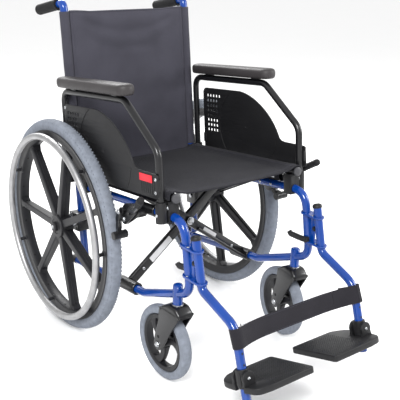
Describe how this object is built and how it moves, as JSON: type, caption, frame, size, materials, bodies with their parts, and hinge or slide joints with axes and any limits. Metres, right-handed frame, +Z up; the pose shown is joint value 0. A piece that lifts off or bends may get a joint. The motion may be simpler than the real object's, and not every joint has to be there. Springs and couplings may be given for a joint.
{
  "type": "manual wheelchair",
  "caption": "Folding manual wheelchair with spoked rear wheels, handrims, swivel casters, lift-out padded armrests and swing-away legrests with flip-up footplates.",
  "frame": {"origin": "on the ground, under the centre of the whole chair", "axes": "+Z up; the chair faces -Y; +X is towards the occupant's left"},
  "size_m": [0.637, 1.0786, 0.9084],
  "materials": {
    "frame_paint": "glossy royal blue powder coat",
    "black_metal": "black powder coat",
    "moulded_plastic": "black moulded plastic",
    "wheel_plastic": "black moulded wheel",
    "grip_rubber": "ribbed black rubber",
    "armrest_foam": "dark grey moulded foam",
    "tyre": "grey rubber",
    "handrim": "satin silver",
    "zinc": "zinc plated",
    "seat_fabric": "dark grey coated nylon",
    "back_fabric": "dark grey padded nylon",
    "webbing": "black webbing"
  },
  "bodies": {
    "right_side": {"right_side_frame": "frame_paint", "right_rear_upright": "frame_paint", "right_push_grip": "grip_rubber", "right_axle_plate": "black_metal", "right_rear_axle": "zinc", "right_arm_socket_front": "moulded_plastic", "right_arm_socket_rear": "moulded_plastic", "right_brake_bracket": "black_metal", "right_hanger_bracket": "frame_paint", "back_sling": "back_fabric"},
    "right_wheel": {"right_rear_wheel": "wheel_plastic", "right_rear_tyre": "tyre", "right_handrim": "handrim"},
    "right_armrest": {"right_armrest_tube": "black_metal", "right_armrest_pad": "armrest_foam", "right_side_guard": "moulded_plastic"},
    "right_brake": {"right_brake_lever": "black_metal"},
    "right_shoe": {"right_brake_shoe": "black_metal"},
    "right_latch": {"right_latch_lever": "moulded_plastic"},
    "right_caster": {"right_caster_fork": "black_metal", "right_caster_axle": "zinc"},
    "right_caster_roll": {"right_caster_wheel": "wheel_plastic", "right_caster_tyre": "tyre"},
    "right_legrest": {"right_legrest_tube": "frame_paint", "right_footplate_bracket": "moulded_plastic", "calf_strap_right": "webbing"},
    "right_foot": {"right_footplate": "moulded_plastic"},
    "left_side": {"left_side_frame": "frame_paint", "left_rear_upright": "frame_paint", "left_push_grip": "grip_rubber", "left_axle_plate": "black_metal", "left_rear_axle": "zinc", "left_arm_socket_front": "moulded_plastic", "left_arm_socket_rear": "moulded_plastic", "left_brake_bracket": "black_metal", "left_hanger_bracket": "frame_paint"},
    "left_wheel": {"left_rear_wheel": "wheel_plastic", "left_rear_tyre": "tyre", "left_handrim": "handrim"},
    "left_armrest": {"left_armrest_tube": "black_metal", "left_armrest_pad": "armrest_foam", "left_side_guard": "moulded_plastic"},
    "left_brake": {"left_brake_lever": "black_metal"},
    "left_shoe": {"left_brake_shoe": "black_metal"},
    "left_latch": {"left_latch_lever": "moulded_plastic"},
    "left_caster": {"left_caster_fork": "black_metal", "left_caster_axle": "zinc"},
    "left_caster_roll": {"left_caster_wheel": "wheel_plastic", "left_caster_tyre": "tyre"},
    "left_legrest": {"left_legrest_tube": "frame_paint", "left_footplate_bracket": "moulded_plastic", "calf_strap_left": "webbing"},
    "left_foot": {"left_footplate": "moulded_plastic"},
    "brace_a": {"crossbar_a": "black_metal", "left_seat_tube": "black_metal", "cross_bolt": "zinc", "seat_sling": "seat_fabric"},
    "brace_b": {"crossbar_b": "black_metal", "right_seat_tube": "black_metal"}
  },
  "joints": [
    {"name": "fold", "type": "hinge", "parent": "right_side", "child": "brace_a", "pos_m": [-0.198, 0.00042, 0.18936], "axis": [0, -0.9945, 0.1045], "range_deg": [0, 38.73], "deforming": ["seat_sling", "back_sling", "calf_strap_right", "calf_strap_left"]},
    {"name": "brace_cross", "type": "hinge", "parent": "brace_a", "child": "brace_b", "pos_m": [0, 0.01537, 0.33158], "axis": [0, -0.9945, 0.1045], "range_deg": [-78.46, 0]},
    {"name": "left_side_pivot", "type": "hinge", "parent": "brace_b", "child": "left_side", "pos_m": [0.198, 0.00042, 0.18936], "axis": [0, -0.9945, 0.1045], "range_deg": [0, 39.73]},
    {"name": "right_wheel_spin", "type": "hinge", "parent": "right_side", "child": "right_wheel", "pos_m": [-0.27, 0.2393, 0.3], "axis": [1, 0, 0], "continuous": true},
    {"name": "right_armrest_lift", "type": "slide", "parent": "right_side", "child": "right_armrest", "axis": [0, 0.1045, 0.9945], "range_m": [0, 0.07]},
    {"name": "right_brake_lever", "type": "hinge", "parent": "right_side", "child": "right_brake", "pos_m": [-0.245, -0.0577, 0.409], "axis": [1, 0, 0], "range_deg": [0, 45]},
    {"name": "right_brake_shoe", "type": "hinge", "parent": "right_side", "child": "right_shoe", "pos_m": [-0.254, -0.05171, 0.43], "axis": [1, 0, 0], "range_deg": [0, 12]},
    {"name": "right_latch", "type": "hinge", "parent": "right_side", "child": "right_latch", "pos_m": [-0.183, -0.2727, 0.33], "axis": [0, 0, -1], "range_deg": [0, 20], "stiffness_Nm_per_rad": 0.5},
    {"name": "right_caster_swivel", "type": "hinge", "parent": "right_side", "child": "right_caster", "pos_m": [-0.198, -0.22071, 0.2], "axis": [0, 0, 1], "continuous": true},
    {"name": "right_caster_spin", "type": "hinge", "parent": "right_caster", "child": "right_caster_roll", "pos_m": [-0.1994, -0.17072, 0.1], "axis": [0.9996, 0.0279, 0], "continuous": true},
    {"name": "right_legrest_swing", "type": "hinge", "parent": "right_side", "child": "right_legrest", "pos_m": [-0.198, -0.30771, 0.338], "axis": [0, -0.2375, -0.9714], "range_deg": [0, 90]},
    {"name": "right_footplate_flip", "type": "hinge", "parent": "right_legrest", "child": "right_foot", "pos_m": [-0.1945, -0.4697, 0.154], "axis": [0, -0.9511, 0.309], "range_deg": [0, 92.5]},
    {"name": "left_wheel_spin", "type": "hinge", "parent": "left_side", "child": "left_wheel", "pos_m": [0.27, 0.2393, 0.3], "axis": [1, 0, 0], "continuous": true},
    {"name": "left_armrest_lift", "type": "slide", "parent": "left_side", "child": "left_armrest", "axis": [0, 0.1045, 0.9945], "range_m": [0, 0.07]},
    {"name": "left_brake_lever", "type": "hinge", "parent": "left_side", "child": "left_brake", "pos_m": [0.245, -0.0577, 0.409], "axis": [1, 0, 0], "range_deg": [0, 45]},
    {"name": "left_brake_shoe", "type": "hinge", "parent": "left_side", "child": "left_shoe", "pos_m": [0.254, -0.05171, 0.43], "axis": [1, 0, 0], "range_deg": [0, 12]},
    {"name": "left_latch", "type": "hinge", "parent": "left_side", "child": "left_latch", "pos_m": [0.183, -0.2727, 0.33], "axis": [0, 0, 1], "range_deg": [0, 20], "stiffness_Nm_per_rad": 0.5},
    {"name": "left_caster_swivel", "type": "hinge", "parent": "left_side", "child": "left_caster", "pos_m": [0.198, -0.22071, 0.2], "axis": [0, 0, 1], "continuous": true},
    {"name": "left_caster_spin", "type": "hinge", "parent": "left_caster", "child": "left_caster_roll", "pos_m": [0.20634, -0.17141, 0.1], "axis": [0.986, -0.1668, 0], "continuous": true},
    {"name": "left_legrest_swing", "type": "hinge", "parent": "left_side", "child": "left_legrest", "pos_m": [0.198, -0.30771, 0.338], "axis": [0, 0.2375, 0.9714], "range_deg": [0, 90]},
    {"name": "left_footplate_flip", "type": "hinge", "parent": "left_legrest", "child": "left_foot", "pos_m": [0.1945, -0.4697, 0.154], "axis": [0, 0.9511, -0.309], "range_deg": [0, 92.5]}
  ],
  "couplings": [
    {"joint": "brace_cross", "follows": "fold", "ratio": -2},
    {"joint": "left_side_pivot", "follows": "fold", "ratio": 1},
    {"joint": "right_brake_shoe", "follows": "right_brake_lever", "ratio": 0.21},
    {"joint": "right_footplate_flip", "follows": "fold", "ratio": 2.3754},
    {"joint": "left_brake_shoe", "follows": "left_brake_lever", "ratio": 0.21},
    {"joint": "left_footplate_flip", "follows": "fold", "ratio": 2.3754}
  ]
}
